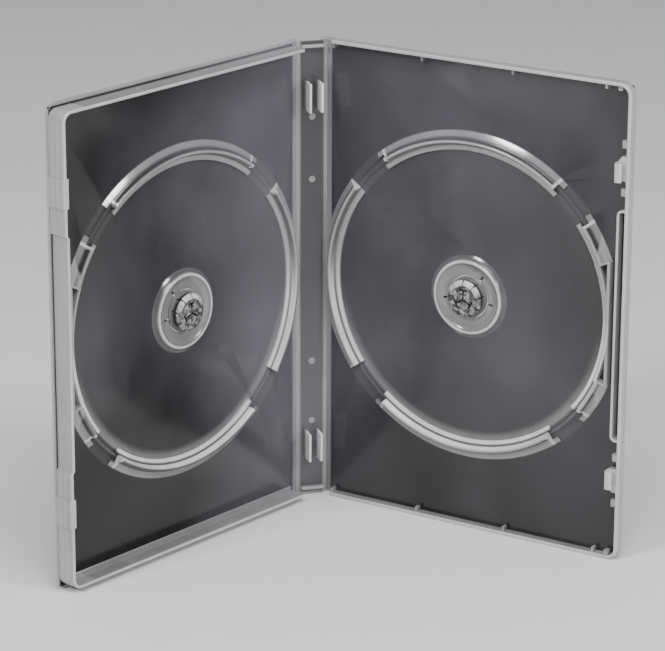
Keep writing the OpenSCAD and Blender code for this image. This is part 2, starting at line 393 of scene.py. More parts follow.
def lathed(section: Outline, centre: Point) -> Mesh:
    """Revolves a closed (radius, depth) section round a hub's axis.

    Args:
        section: The section's corners, none of them on the axis.
        centre: The axis, as (u, v).

    Returns:
        A closed mesh.
    """
    shape = bmesh.new()
    rows = spun(shape, section, centre)
    for here, there in zip(rows, rows[1:] + rows[:1]):
        for i in range(len(section)):
            j = (i + 1) % len(section)
            shape.faces.new((here[i], there[i], there[j], here[j]))
    return finished(shape, "lathed")


def domed(section: Outline, centre: Point) -> Mesh:
    """Revolves an open (radius, depth) section whose two ends lie on the hub's axis."""
    shape = bmesh.new()
    foot, tip = (shape.verts.new((*centre, end[1])) for end in (section[0], section[-1]))
    rows = spun(shape, section[1:-1], centre)
    for here, there in zip(rows, rows[1:] + rows[:1]):
        shape.faces.new((foot, there[0], here[0]))
        shape.faces.new((tip, here[-1], there[-1]))
        for i in range(len(here) - 1):
            shape.faces.new((here[i], there[i], there[i + 1], here[i + 1]))
    return finished(shape, "domed")


# Node trees

class NodeBench:
    """Short ways to add nodes to a tree and to feed their sockets."""

    def __init__(self, tree: bpy.types.NodeTree) -> None:
        """Keeps the tree that is worked on."""
        self.tree = tree

    def add(self, kind: str, **values: object) -> bpy.types.Node:
        """Adds a node and sets its properties."""
        made = self.tree.nodes.new(kind)
        for key, value in values.items():
            setattr(made, key, value)
        return made

    def feed(self, socket: Socket, value: object) -> None:
        """Links a socket to another, or sets its value."""
        if isinstance(value, Socket):
            self.tree.links.new(value, socket)
        else:
            socket.default_value = value


class NodeShop(NodeBench):
    """Builds a Geometry Nodes tree with named inputs and runs it on a mesh."""

    def __init__(self, name: str, **asks: tuple[str, object]) -> None:
        """Starts a tree with geometry in and out, its own named inputs and a material.

        Args:
            name: The tree's name.
            asks: Kind and default of each input, named with an underscore for each blank.
        """
        super().__init__(bpy.data.node_groups.new(name, "GeometryNodeTree"))
        sockets = self.tree.interface
        for way in ("INPUT", "OUTPUT"):
            sockets.new_socket("Geometry", in_out=way, socket_type="NodeSocketGeometry")
        self.ids: dict[str, str] = {}
        for key, (kind, default) in {**asks, "Material": ("Material", None)}.items():
            item = sockets.new_socket(key.replace("_", " "), in_out="INPUT", socket_type=f"NodeSocket{kind}")
            if default is not None:
                item.default_value = default
            self.ids[key] = item.identifier
        self.inputs = self.add("NodeGroupInput")

    def link(self, *links: tuple[bpy.types.Node, str, bpy.types.Node, str | int]) -> None:
        """Links nodes, each link given as a node, its output, the next node and its input."""
        for source, output, target, into in links:
            self.feed(target.inputs[into], source.outputs[output])

    def close(self, last: bpy.types.Node, output: str) -> None:
        """Ends the tree in Realize Instances and Set Material."""
        real = self.add("GeometryNodeRealizeInstances")
        paint = self.add("GeometryNodeSetMaterial")
        out = self.add("NodeGroupOutput")
        self.link((last, output, real, "Geometry"), (real, "Geometry", paint, "Geometry"),
                  (self.inputs, "Material", paint, "Material"), (paint, "Geometry", out, "Geometry"))

    def run(self, mesh: Mesh, **values: object) -> Mesh:
        """Runs the tree on a mesh.

        Args:
            mesh: What goes in.
            values: The inputs, with an underscore for each blank.

        Returns:
            The evaluated result as a plain mesh.
        """
        carrier = bpy.data.objects.new("carrier", mesh)
        bpy.context.scene.collection.objects.link(carrier)
        modifier = carrier.modifiers.new("nodes", "NODES")
        modifier.node_group = self.tree
        for key, value in values.items():
            modifier[self.ids[key]] = value
        made = evaluated_mesh(carrier)
        bpy.data.objects.remove(carrier)
        return made


def evaluated_mesh(thing: Thing) -> Mesh:
    """Returns an object's mesh with its modifiers applied."""
    bpy.context.view_layer.update()
    graph = bpy.context.evaluated_depsgraph_get()
    return bpy.data.meshes.new_from_object(thing.evaluated_get(graph))


def band_tree() -> NodeShop:
    """Returns the tree that sweeps a section, drawn as (radius, depth), round part of a circle."""
    shop = NodeShop(
        "swept_band", Start_Angle=("Float", 0.0), Sweep_Angle=("Float", 1.0), Radius=("Float", 60.0),
        Steps=("Int", 32), Centre=("Vector", (0.0, 0.0, 0.0)))
    given = shop.inputs
    way = shop.add("GeometryNodeCurveArc", mode="RADIUS")
    upright = shop.add("GeometryNodeSetCurveNormal", mode="Z_UP")
    section = shop.add("GeometryNodeMeshToCurve")
    sweep = shop.add("GeometryNodeCurveToMesh")
    place = shop.add("GeometryNodeTransform")
    shop.feed(sweep.inputs["Fill Caps"], True)
    shop.link(
        (given, "Steps", way, "Resolution"), (given, "Radius", way, "Radius"),
        (given, "Start Angle", way, "Start Angle"), (given, "Sweep Angle", way, "Sweep Angle"),
        (way, "Curve", upright, "Curve"), (upright, "Curve", sweep, "Curve"),
        (given, "Geometry", section, "Mesh"), (section, "Curve", sweep, "Profile Curve"),
        (sweep, "Mesh", place, "Geometry"), (given, "Centre", place, "Translation"))
    shop.close(place, "Geometry")
    return shop


def row_tree() -> NodeShop:
    """Returns the tree that repeats a mesh along a straight row."""
    shop = NodeShop("row_of_copies", Count=("Int", 4), Step=("Vector", (1.0, 0.0, 0.0)))
    line = shop.add("GeometryNodeMeshLine", mode="OFFSET")
    copies = shop.add("GeometryNodeInstanceOnPoints")
    shop.link(
        (shop.inputs, "Count", line, "Count"), (shop.inputs, "Step", line, "Offset"),
        (line, "Mesh", copies, "Points"), (shop.inputs, "Geometry", copies, "Instance"))
    shop.close(copies, "Instances")
    return shop


def ring_tree() -> NodeShop:
    """Returns the tree that repeats a mesh round a hub's axis."""
    shop = NodeShop("ring_of_copies", Count=("Int", 9), Centre=("Vector", (0.0, 0.0, 0.0)))
    given = shop.inputs
    points = shop.add("GeometryNodePoints")
    index = shop.add("GeometryNodeInputIndex")
    share = shop.add("ShaderNodeMath", operation="DIVIDE")
    turn = shop.add("ShaderNodeMath", operation="MULTIPLY")
    axis = shop.add("ShaderNodeCombineXYZ")
    copies = shop.add("GeometryNodeInstanceOnPoints")
    shop.feed(turn.inputs[1], math.tau)
    shop.link(
        (given, "Count", points, "Count"), (given, "Centre", points, "Position"),
        (index, "Index", share, 0), (given, "Count", share, 1), (share, "Value", turn, 0),
        (turn, "Value", axis, "Z"), (points, "Points", copies, "Points"),
        (given, "Geometry", copies, "Instance"), (axis, "Vector", copies, "Rotation"))
    shop.close(copies, "Instances")
    return shop


@dataclass
class Trees:
    """The three Geometry Nodes trees that the mouldings share."""

    band: NodeShop = field(default_factory=band_tree)
    row: NodeShop = field(default_factory=row_tree)
    ring: NodeShop = field(default_factory=ring_tree)

    def swept(self, section: Outline, centre: Point, start: float, end: float, material: Material) -> Mesh:
        """Sweeps a closed (radius, depth) section from one angle to another, in degrees.

        Args:
            section: The section's corners.
            centre: The axis, as (u, v).
            start: Angle of the first end.
            end: Angle of the last end.
            material: The finish that the tree sets.

        Returns:
            A closed mesh.
        """
        mid = sum(r for r, _ in section) / len(section)
        loop = bmesh.new()
        corners = [loop.verts.new((r - mid, -w, 0.0)) for r, w in section]
        for a, b in zip(corners, corners[1:] + corners[:1]):
            loop.edges.new((a, b))
        profile = bpy.data.meshes.new("section")
        loop.to_mesh(profile)
        loop.free()
        steps = max(4, round(abs(end - start) / 2)) + 1
        made = self.band.run(
            profile, Start_Angle=math.radians(start), Sweep_Angle=math.radians(end - start), Radius=mid,
            Steps=steps, Centre=(centre[0], centre[1], 0.0), Material=material)
        return closed_copy(made)


def closed_copy(mesh: Mesh) -> Mesh:
    """Merges a mesh's doubles and turns it outwards."""
    shape = bmesh.new()
    shape.from_mesh(mesh)
    return finished(shape, mesh.name)


# Joining

def combined(first: Mesh, others: Iterable[Mesh], how: Fill) -> Mesh:
    """Joins closed meshes into one closed mesh, or cuts them from the first.

    Args:
        first: The mesh that is kept.
        others: What is added or cut away.
        how: Whether to join or cut.

    Returns:
        The closed result.
    """
    scene = bpy.context.scene
    shelf = bpy.data.collections.new("boolean_shelf")
    scene.collection.children.link(shelf)
    for mesh in others:
        shelf.objects.link(bpy.data.objects.new("tool", mesh))
    body = bpy.data.objects.new("body", first)
    scene.collection.objects.link(body)
    step = body.modifiers.new("boolean", "BOOLEAN")
    step.operation = how.value
    step.operand_type = "COLLECTION"
    step.collection = shelf
    step.solver = "MANIFOLD"
    made = evaluated_mesh(body)
    for thing in [body, *shelf.objects]:
        bpy.data.objects.remove(thing)
    bpy.data.collections.remove(shelf)
    return made


def settled(mesh: Mesh, place: PanelFrame, name: str, material: Material) -> Thing:
    """Moves a local mesh into the frame, dresses it and makes its object at the origin.

    Args:
        mesh: A closed mesh in the panel's millimetres.
        place: Where the panel is.
        name: The piece's name.
        material: Its finish.

    Returns:
        The new object.
    """
    matrix = place.matrix()
    mesh.transform(matrix)
    if matrix.determinant() < 0:
        mesh.flip_normals()
    mesh.materials.clear()
    mesh.materials.append(material)
    mesh.shade_smooth()
    mesh.set_sharp_from_angle(angle=math.radians(32))
    mesh.name = name
    thing = bpy.data.objects.new(name, mesh)
    bpy.context.scene.collection.objects.link(thing)
    return thing


# Finishes

class Wiring(NodeBench):
    """Adds and links shader nodes for one material."""

    def __init__(self, name: str) -> None:
        """Makes a material with a bare Principled shader."""
        self.material = bpy.data.materials.new(name)
        self.material.use_nodes = True
        super().__init__(self.material.node_tree)
        self.shader = next(n for n in self.tree.nodes if n.type == "BSDF_PRINCIPLED")
        self.position = self.add("ShaderNodeTexCoord").outputs["Object"]

    def maths(self, operation: str, a: object, b: object = 0.0, clamp: bool = False) -> Socket:
        """Returns the result of a Math node."""
        made = self.add("ShaderNodeMath", operation=operation, use_clamp=clamp)
        self.feed(made.inputs[0], a)
        self.feed(made.inputs[1], b)
        return made.outputs[0]

    def reach(self, start: Vector, way: Vector) -> Socket:
        """Returns how far the surface lies from a plane, in millimetres, along its normal."""
        away = self.add("ShaderNodeVectorMath", operation="SUBTRACT")
        self.feed(away.inputs[0], self.position)
        self.feed(away.inputs[1], tuple(start))
        dot = self.add("ShaderNodeVectorMath", operation="DOT_PRODUCT")
        self.feed(dot.inputs[0], away.outputs[0])
        self.feed(dot.inputs[1], tuple(way / MM))
        return dot.outputs["Value"]

    def height(self) -> Socket:
        """Returns the height over the floor, in millimetres."""
        return self.reach(FLOOR, UP)

    def radius(self, place: PanelFrame, middle: Point) -> Socket:
        """Returns the distance from a hub's axis, in millimetres."""
        axis = place.origin + place.along * (middle[0] * MM) + UP * (middle[1] * MM)
        squares = []
        for way in (place.along, UP):
            away = self.reach(axis, way)
            squares.append(self.maths("MULTIPLY", away, away))
        return self.maths("SQRT", self.maths("ADD", *squares))

    def between(
        self, value: object, low: float, high: float, to_low: object = 0.0, to_high: object = 1.0
    ) -> Socket:
        """Returns a value carried smoothly from one range to another, either of them rising or falling."""
        made = self.add("ShaderNodeMapRange", interpolation_type="SMOOTHSTEP")
        if low > high:
            low, high, to_low, to_high = high, low, to_high, to_low
        for socket, number in zip(made.inputs, (value, low, high, to_low, to_high)):
            self.feed(socket, number)
        return made.outputs[0]

    def most(self, *shares: object) -> Socket:
        """Returns the largest of some shares, and 1 at most."""
        best = shares[0]
        for share in shares[1:]:
            best = self.maths("MAXIMUM", best, share)
        return self.maths("MINIMUM", best, 1.0)

    def curve(self, value: object, span: float, stops: Sequence[Point]) -> Socket:
        """Returns a value read from stops, each a place from 0 to span and the value there."""
        share = self.maths("DIVIDE", value, span, clamp=True)
        ramp = self.add("ShaderNodeValToRGB")
        elements = ramp.color_ramp.elements
        for i, (place, level) in enumerate(stops):
            stop = elements[i] if i < 2 else elements.new(place / span)
            stop.position = place / span
            stop.color = (level, level, level, 1.0)
        self.feed(ramp.inputs["Fac"], share)
        return ramp.outputs["Color"]

    def clouds(self, scale: float, detail: float, stretch: tuple[float, float, float] = (1, 1, 1)) -> Socket:
        """Returns a soft noise on the piece's own coordinates."""
        spread = self.add("ShaderNodeMapping")
        self.feed(spread.inputs["Vector"], self.position)
        self.feed(spread.inputs["Scale"], stretch)
        noise = self.add("ShaderNodeTexNoise")
        self.feed(noise.inputs["Vector"], spread.outputs[0])
        self.feed(noise.inputs["Scale"], scale)
        self.feed(noise.inputs["Detail"], detail)
        return noise.outputs["Fac"]

    def mixed(self, share: object, a: object, b: object) -> Socket:
        """Returns a blend of two colours, each a value or a socket."""
        made = self.add("ShaderNodeMix", data_type="RGBA")
        self.feed(made.inputs["Factor"], share)
        self.feed(made.inputs[6], a)
        self.feed(made.inputs[7], b)
        return made.outputs[2]

    def paint(self, **values: object) -> None:
        """Feeds the shader's inputs, named with an underscore for each blank."""
        for name, value in values.items():
            self.feed(self.shader.inputs[name.replace("_", " ")], value)

    def bumps(self, heights: Sequence[tuple[object, float]]) -> None:
        """Feeds a chain of bumps, each a height socket and its distance in metres, to the shader."""
        last = None
        for height, distance in heights:
            bump = self.add("ShaderNodeBump")
            self.feed(bump.inputs["Height"], height)
            self.feed(bump.inputs["Distance"], distance)
            self.feed(bump.inputs["Strength"], 1.0)
            if last is not None:
                self.feed(bump.inputs["Normal"], last)
            last = bump.outputs["Normal"]
        self.paint(Normal=last)


@dataclass(frozen=True)
class ClearPolypropylene:
    """Smoky translucent plastic with light painted onto its lips, ridges, walls and hinge strips."""

    name: str
    plate: Colour = (0.01, 0.01, 0.011, 1.0)
    haze: Colour = (0.17, 0.166, 0.19, 1.0)
    # Colour of the painted light on lips, ridges, walls and hinge strips
    lip: Colour = (0.86, 0.85, 0.86, 1.0)
    clear_plate: float = 0.42
    clear_lip: float = 0.25
    roughness: float = 0.15
    coat_plate: float = 0.06
    coat_lip: float = 0.9
    coat_roughness: float = 0.11
    ior: float = 1.49
    specular: float = 0.38

    def make(
        self, gathers: Callable[[Wiring], Socket], hazes: Callable[[Wiring], Socket]
    ) -> Material:
        """Builds the material for one panel.

        Args:
            gathers: Gives the share of painted light at a point, from 0 to 1.
            hazes: Gives how hazy the plate is at a point, added to the drifting clouds.

        Returns:
            The material.
        """
        wires = Wiring(self.name)
        painted_share = gathers(wires)
        clouds = wires.clouds(13.0, 3.0)
        flow = wires.clouds(90.0, 3.0, (1.0, 1.0, 0.3))
        drift = wires.maths("ADD", wires.between(clouds, 0.3, 0.7, 0.0, 0.34), hazes(wires), clamp=True)
        smoke = wires.mixed(drift, self.plate, self.haze)
        mottle = wires.between(flow, 0.25, 0.75, 0.9, 1.08)
        # Painted light: this share carries the colour towards the lip colour and makes the plastic less
        # clear
        light = wires.maths("MULTIPLY", painted_share, mottle, clamp=True)
        rough = wires.between(flow, 0.3, 0.7, self.roughness * 0.7, self.roughness * 1.4)
        wires.paint(
            Base_Color=wires.mixed(light, smoke, self.lip),
            Transmission_Weight=wires.between(painted_share, 0.0, 1.0, self.clear_plate, self.clear_lip),
            Roughness=wires.maths("ADD", rough, wires.maths("MULTIPLY", painted_share, 0.06)),
            IOR=self.ior,
            Specular_IOR_Level=self.specular,
            Coat_Weight=wires.between(painted_share, 0.05, 0.35, self.coat_plate, self.coat_lip),
            Coat_Roughness=self.coat_roughness)
        swell, grain = wires.clouds(24.0, 1.0), wires.clouds(2200.0, 2.0)
        wires.bumps([(swell, 0.0006), (flow, 0.00003), (grain, 0.000001)])
        return wires.material


@dataclass(frozen=True)
class FrostedPolypropylene:
    """Bright frosted plastic of a hub button, with painted shade in its slits and round its foot and a
    painted highlight on the upper side of its lips.
    """

    name: str
    # slit is painted shade in the slits and down the fingers' sides; rim is a painted highlight on the upper
    # lips
    slit: Colour = (0.03, 0.028, 0.03, 1.0)
    skirt: Colour = (0.2, 0.19, 0.195, 1.0)
    body: Colour = (0.07, 0.066, 0.067, 1.0)
    bright: Colour = (0.36, 0.345, 0.35, 1.0)
    rim: Colour = (0.6, 0.59, 0.59, 1.0)
    clear: float = 0.12
    roughness: float = 0.22
    ior: float = 1.49

    def make(self, place: PanelFrame, middle: Point, hub: HubSizes) -> Material:
        """Builds the material.

        Args:
            place: The cover's place, from which depth is measured.
            middle: The button's axis in the panel's plane.
            hub: The button's sizes.

        Returns:
            The material.
        """
        wires = Wiring(self.name)
        depth = wires.reach(place.outer, place.inward)
        radius = wires.radius(place, middle)
        patches = wires.clouds(620.0, 3.0)
        top = wires.mixed(wires.between(patches, 0.42, 0.66), self.body, self.bright)
        share = wires.maths("DIVIDE", wires.maths("SUBTRACT", wires.height(), middle[1]), radius)
        # Painted highlight: the rim colour only on the upper side of the fingers' lips
        lips = wires.between(radius, hub.neck_r - 2.0, hub.neck_r - 1.2)
        lips = wires.maths("MULTIPLY", lips, wires.between(share, 0.1, 0.8))
        top = wires.mixed(lips, top, self.rim)
        # Painted shade: the slit colour below the fingers' tops, the skirt colour lower down
        low = wires.mixed(wires.between(depth, hub.base + 1.0, hub.base + 2.2), self.skirt, self.slit)
        inner = wires.between(radius, hub.neck_r - 2.9, hub.neck_r - 2.0, 0.75, 0.0)
        lit = wires.between(wires.maths("SUBTRACT", depth, inner), hub.button_h - 1.6, hub.button_h - 1.0)
        wires.paint(
            Base_Color=wires.mixed(lit, low, top),
            Transmission_Weight=self.clear,
            Roughness=wires.between(patches, 0.3, 0.7, self.roughness * 0.7, self.roughness * 1.3),
            IOR=self.ior)
        wires.bumps([(patches, 0.0002), (wires.clouds(1500.0, 2.0), 0.00003)])
        return wires.material


@dataclass(frozen=True)
class PaleFloor:
    """Plain matt floor."""

    name: str = "pale_floor"
    colour: Colour = (0.72, 0.72, 0.71, 1.0)
    roughness: float = 0.75

    def make(self) -> Material:
        """Builds the material."""
        wires = Wiring(self.name)
        grain = wires.clouds(40.0, 3.0)
        darker = tuple(c * 0.97 for c in self.colour[:3]) + (1.0,)
        wires.paint(Base_Color=wires.mixed(grain, darker, self.colour), Roughness=self.roughness)
        return wires.material


# Mouldings

@dataclass
class Cover:
    """What both covers have: plate, web, disc ring, ribs and hub seat."""

    side: Side
    sizes: CaseSizes
    tray: TraySizes
    hub: HubSizes
    trees: Trees
    haze_start: float = 8.0
    haze_end: float = 88.0
    haze_low: float = 0.0
    haze_high: float = 0.8
    place: PanelFrame = field(init=False)
    finish: Material = field(init=False)

    def __post_init__(self) -> None:
        """Finds the cover's place and makes its finish."""
        self.place = cover_frame(self.side, self.sizes)
        self.finish = ClearPolypropylene(f"clear_{self.word}").make(self.painted_light, self.hazed)

    @property
    def word(self) -> str:
        """Word for the side, as in the nodes' names."""
        return self.side.name.lower()

    @property
    def middle(self) -> Point:
        """Middle of the hub in the panel's plane."""
        far = self.sizes.cover_w - self.tray.lane_w - self.tray.flat_t
        return (far - self.tray.pocket_r, self.sizes.mid_v)

    @property
    def lip_depth(self) -> float:
        """Depth of the rim's lip."""
        raise NotImplementedError

    def ring_stops(self, above: bool) -> list[Point]:
        """Returns how much light is painted on each radius, from the hub out to the rim.

        Args:
            above: Whether the stops are for the arcs above the hub, whose outer foot looks up to the light,
                or for those below it, whose ledge and inner wall do; on both the lit sides are painted.

        Returns:
            Radii in millimetres, each with a share from 0 to 1.
        """
        h, t = self.hub, self.tray
        seat, ledge = h.seat_r - h.seat_w, t.pocket_r - t.ledge_w
        stops = [(0.0, 0.22), (seat - 1.2, 0.31), (seat - 0.35, 0.24), (seat + 0.05, 0.8),
                 (h.seat_r + 0.05, 0.8), (h.seat_r + 0.5, 0.13), (h.seat_r + 1.4, 0.06),
                 (h.seat_r + h.seat_slope, 0.2), (h.seat_r + h.seat_slope + 0.5, 0.0), (ledge - 0.4, 0.15)]
        if above:
            return stops + [(ledge + 0.1, 0.46), (t.pocket_r - 0.2, 0.46), (t.pocket_r + 0.1, 0.1),
                            (t.ridge_r - 0.3, 0.14), (t.ridge_r, 0.48), (t.ridge_r + t.ridge_w - 0.15, 0.46),
                            (t.ridge_r + t.ridge_w + 0.1, 0.04), (t.shoulder_r + 0.1, 0.04),
                            (t.shoulder_r + 0.6, 0.28), (t.foot_r - 0.8, 0.32), (t.foot_r + 0.5, 0.28)]
        return stops + [(ledge + 0.05, 1.0), (ledge + 1.2, 0.95), (ledge + 1.5, 0.15),
                        (t.pocket_r + 0.2, 0.12), (t.pocket_r + 0.45, 1.0), (t.ridge_r, 1.0),
                        (t.ridge_r + 0.2, 0.12), (t.ridge_r + t.ridge_w, 0.12),
                        (t.shoulder_r + 0.3, 0.3), (t.foot_r - 1.2, 0.42), (t.foot_r + 0.5, 0.36)]

    def arc_ends(self) -> list[Point]:
        """Returns painted highlights on the radial edges of the ring's arcs, by the angle from the free
        edge's way.
        """
        n, stops = self.tray.notch_half, [(0.0, 0.0)]
        for notch in (45.0, 135.0):
            low, high = notch - n, notch + n
            stops += [(low - 1.1, 0.0), (low - 0.6, 0.85), (low + 0.1, 0.85), (low + 0.3, 0.0)]
            stops += [(high - 0.3, 0.0), (high - 0.1, 0.85), (high + 0.6, 0.85), (high + 1.1, 0.0)]
        return stops

    def painted_light(self, wires: Wiring) -> Socket:
        """Returns the share of light painted on the cover at each point: lit ring sides, highlights on edges
        and lips, and a glow on the floor.
        """
        s, t = self.sizes, self.tray
        along = wires.reach(self.place.origin, self.place.along)
        up = wires.maths("SUBTRACT", wires.height(), s.mid_v)
        level = wires.maths("ABSOLUTE", up)
        depth = wires.reach(self.place.outer, self.place.inward)
        out = wires.maths("SUBTRACT", along, self.middle[0])
        radius, far_r = wires.radius(self.place, self.middle), 70.0
        turn = wires.maths("MULTIPLY", wires.maths("ARCTAN2", level, out), 180 / math.pi)
        raised = wires.between(depth, s.plate_t + 0.02, s.plate_t + 0.3)
        # The ring is painted lit where it faces up: its outer foot above the hub, its ledge and inner wall
        # below it
        above = wires.between(wires.maths("DIVIDE", up, radius), -0.35, 0.35)
        lower, upper = (wires.curve(radius, far_r, self.ring_stops(over)) for over in (False, True))
        rings = wires.between(above, 0.0, 1.0, lower, upper)
        ends = wires.curve(turn, 180.0, self.arc_ends())
        for start, full in ((t.pocket_r + 0.2, t.pocket_r + 0.8), (t.foot_r + 0.3, t.foot_r - 0.5)):
            ends = wires.maths("MULTIPLY", ends, wires.between(radius, start, full))
        flat = t.pocket_r * math.cos(math.radians(t.flat_half))
        straight = wires.between(out, flat - 0.5, flat + 0.5, 0.0, 0.48)
        features = wires.maths("MULTIPLY", raised, wires.most(rings, ends, straight))
        # A faint painted light on the floor inside the ring's foot
        within = wires.between(radius, t.foot_r + 0.5, t.foot_r - 0.5, 0.0, 0.1)
        faint = wires.maths("MULTIPLY", rings, within)
        ledge = t.pocket_r - t.ledge_w
        # Painted glow: a pool of light on the floor just inside the ledge, strongest at the bottom of the
        # ring
        glow = wires.between(up, 5.0, -40.0, 0.0, 0.22)
        for start, full in ((ledge - 4.5, ledge), (ledge + 1.0, ledge + 0.5)):
            glow = wires.maths("MULTIPLY", glow, wires.between(radius, start, full))
        # Painted highlights on the rim's lip, on the outside of the free wall (banded in depth for its real
        # layered lines), on the top and bottom edges and on the hinge strip
        lip = wires.between(depth, self.lip_depth - 0.8, self.lip_depth - 0.3, 0.0, 0.74)
        waves = wires.maths("SINE", wires.maths("MULTIPLY", depth, math.tau / 2.6))
        edge = wires.between(waves, -0.9, 0.2, 0.42, 0.54)
        edge = wires.between(along, s.cover_w - 1.4, s.cover_w - 0.5, 0.0, edge)
        rims = wires.between(level, s.mid_v - 1.7, s.mid_v - 0.8, 0.0, 0.48)
        strip = wires.between(along, s.web_w + 0.6, s.web_w - 0.2, 0.0, 0.32)
        return wires.most(features, faint, glow, lip, edge, rims, strip)

    def hazed(self, wires: Wiring) -> Socket:
        """Returns how much paler the plate is: most near the hinge, less towards the free edge, least
        towards the foot.
        """
        along = wires.reach(self.place.origin, self.place.along)
        haze = wires.between(along, self.haze_end, self.haze_start, self.haze_low, self.haze_high)
        return wires.maths("SUBTRACT", haze, wires.between(wires.height(), 75.0, 8.0, 0.0, 0.3))

    def plate(self) -> Mesh:
        """Builds the flat plate with its rounded edges."""
        s = self.sizes
        outline = cover_outline(s, s.web_w + 0.5, 0.0, 0.0, s.corner_r)
        return rounded_prism(outline, 0.0, s.plate_t, 0.2, 0.2)

    def web(self) -> Mesh:
        """Builds the thin web with the round edge that turns in the hinge."""
        s = self.sizes
        section = arc((0.0, s.axis_d), s.axis_d, 270, 90, 8)
        section += [(s.web_w - 0.6, s.web_t), (s.web_w - 0.2, s.web_t + 0.08),
                    (s.web_w + 0.1, s.plate_t - 0.1), (s.web_w + 0.4, s.plate_t),
                    (s.web_w + 1.2, s.plate_t - 0.01), (s.web_w + 1.2, 0.0)]
        return along_height(section, 0.0, s.height)

    def ledge_run(self) -> Outline:
        """Returns the (radius, depth) run over the ledge that the disc's edge lies on."""
        t, floor = self.tray, self.sizes.plate_t
        start = t.pocket_r - t.ledge_w
        return [(start - 0.25, floor), (start, floor + t.ledge_h - 0.15), (start + 0.3, floor + t.ledge_h),
                (t.pocket_r, floor + t.ledge_h)]

    def foot_run(self) -> Outline:
        """Returns the (radius, depth) run down the ring's outer foot."""
        t, floor = self.tray, self.sizes.plate_t
        return spline([(t.shoulder_r + 0.7, floor + t.shoulder_h - 0.05),
                       (t.foot_r - 1.4, floor + t.shoulder_h * 0.55), (t.foot_r - 0.05, floor)], 4)

    def grounded(self, run: Outline) -> Outline:
        """Closes a run with an underside that is sunk in the plate."""
        sunk = self.sizes.plate_t - TRAY_SUNK
        return run + [(run[-1][0], sunk), (run[0][0], sunk)]

    def ring_run(self) -> Outline:
        """Returns the ring's whole run: ledge, inner wall, ridge, shoulder and foot."""
        t, floor = self.tray, self.sizes.plate_t
        rise = spline([(t.pocket_r + 0.5, floor + t.ledge_h + 0.4),
                       (t.ridge_r - 0.25, floor + t.ring_h - 0.4), (t.ridge_r + 0.1, floor + t.ring_h),
                       (t.ridge_r + t.ridge_w - 0.1, floor + t.ring_h),
                       (t.ridge_r + t.ridge_w + 0.35, floor + t.ring_h - 0.45),
                       (t.shoulder_r - 0.25, floor + t.shoulder_h + 0.35),
                       (t.shoulder_r + 0.4, floor + t.shoulder_h)], 3)
        return self.ledge_run() + rise + self.foot_run()

    def ring(self) -> list[Mesh]:
        """Sweeps the ring's arcs between its finger notches, with ledge and foot a little longer."""
        t, n = self.tray, self.tray.notch_half
        runs = (self.ring_run(), self.ledge_run(), self.foot_run())
        ring, ledge, foot = (self.grounded(run) for run in runs)
        spans = [(45 + n, 135 - n), (225 + n, 315 - n),
                 (t.flat_half - 0.5, 45 - n), (315 + n, 360.5 - t.flat_half)]
        arcs = []
        for a, b in spans:
            for section, longer in ((ring, 0.0), (ledge, 1.8), (foot, 2.6)):
                first = a if a < 45 else a - longer
                last = b if b > 315 else b + longer
                arcs.append(self.trees.swept(section, self.middle, first, last, self.finish))
        near = self.trees.swept(ring, self.middle, 135 + n, 225 - n, self.finish)
        hinge_side = rectangle(-9.0, 0.0, self.sizes.web_w + 0.2, self.sizes.height)
        cutter = rounded_prism(hinge_side, -1.0, 9.0, 0.0, 0.0)
        arcs.append(combined(near, [cutter], Fill.CUT))
        return arcs

    def straight_wall(self) -> list[Mesh]:
        """Builds the straight wall beside the free edge, the lip behind it and their ribs."""
        t, floor = self.tray, self.sizes.plate_t
        u0, v0 = self.middle
        top = floor + t.ring_h
        chord = t.pocket_r + t.flat_t
        half = chord * math.tan(math.radians(t.flat_half))
        sunk = floor - TRAY_SUNK
        straight = rectangle(u0 + t.pocket_r, v0 - half, u0 + chord, v0 + half)
        wall = rounded_prism(straight, sunk, top, 0.0, 0.35)
        start = t.pocket_r - t.ledge_w
        lip_section = [(start - 0.25, sunk), (start - 0.25, floor), (start, floor + t.ledge_h),
                       (t.pocket_r, floor + t.ledge_h), (t.pocket_r + 0.05, top - 0.3),
                       (t.pocket_r + 0.3, top), (t.pocket_r + t.lip_t - 0.3, top),
                       (t.pocket_r + t.lip_t, top - 0.3), (t.pocket_r + t.lip_t, sunk)]
        lip = self.trees.swept(lip_section[::-1], self.middle, -t.flat_half, t.flat_half, self.finish)
        beyond = rectangle(u0 + chord - 0.02, 0.0, u0 + chord + 20, self.sizes.height)
        trim = rounded_prism(beyond, 0.0, 9.0, 0.0, 0.0)
        parts = [wall, combined(lip, [trim], Fill.CUT)]
        for angle in (-t.flat_half, -t.rib_half, t.rib_half, t.flat_half):
            far = chord / math.cos(math.radians(angle)) - 0.5
            rib = rectangle(t.pocket_r + 0.3, -t.rib_t / 2, far, t.rib_t / 2)
            parts.append(rounded_prism(turned(rib, angle, self.middle), sunk, top - 0.02, 0.0, 0.2))
        return parts

    def seat(self) -> Mesh:
        """Turns the hub seat with the dish inside it."""
        h, floor = self.hub, self.sizes.plate_t
        bore, foot, inner = h.hole_r - 0.6, h.seat_r + h.seat_slope, h.seat_r - h.seat_w
        sunk = floor - TRAY_SUNK
        dish = spline([(bore, floor + h.dish_h), (h.hole_r + 1.4, floor + h.dish_h - 0.1),
                       (inner - 2.4, floor + h.dish_h), (inner - 0.8, floor + h.seat_h * 0.72),
                       (inner - 0.1, floor + h.seat_h), (h.seat_r - 0.05, floor + h.seat_h),
                       (h.seat_r + 0.4, floor + h.seat_h - 0.45),
                       (h.seat_r + h.seat_slope * 0.4, floor + h.seat_h * 0.4), (foot, floor + 0.02)], 4)
        return lathed(dish + [(foot, sunk), (bore, sunk)], self.middle)

